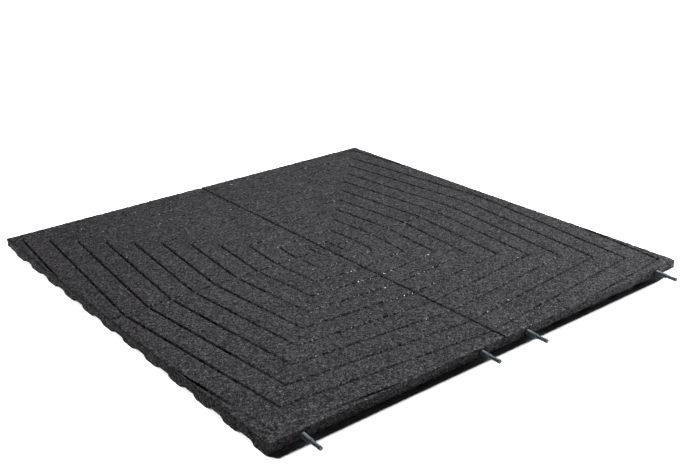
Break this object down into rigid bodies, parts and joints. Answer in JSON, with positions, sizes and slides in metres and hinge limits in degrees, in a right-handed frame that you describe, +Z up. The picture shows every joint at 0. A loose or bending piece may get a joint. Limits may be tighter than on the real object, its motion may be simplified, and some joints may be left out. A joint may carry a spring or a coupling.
{
  "type": "rubber safety tile",
  "caption": "Square rubber granulate floor tile with a web of top grooves, a studded draining underside and side pins that join it to its neighbours.",
  "frame": {"origin": "on the floor under the tile, at the middle of the bounding box, which takes in the pins that stand out of the front side", "axes": "+Z up through the walking surface, -Y out of the front side along the pins, +X to the right along the front side"},
  "size_m": [1, 1.045, 0.025],
  "materials": {
    "granulate_rubber": "black rubber granulate bonded with clear binder: open, grainy and dull, with a few small glints",
    "pin_plastic": "blue-grey moulded plastic with a slight sheen"
  },
  "bodies": {
    "root": {"rubber_tile": "granulate_rubber", "connecting_pin_1": "pin_plastic", "connecting_pin_2": "pin_plastic", "connecting_pin_3": "pin_plastic", "connecting_pin_4": "pin_plastic"}
  },
  "joints": []
}
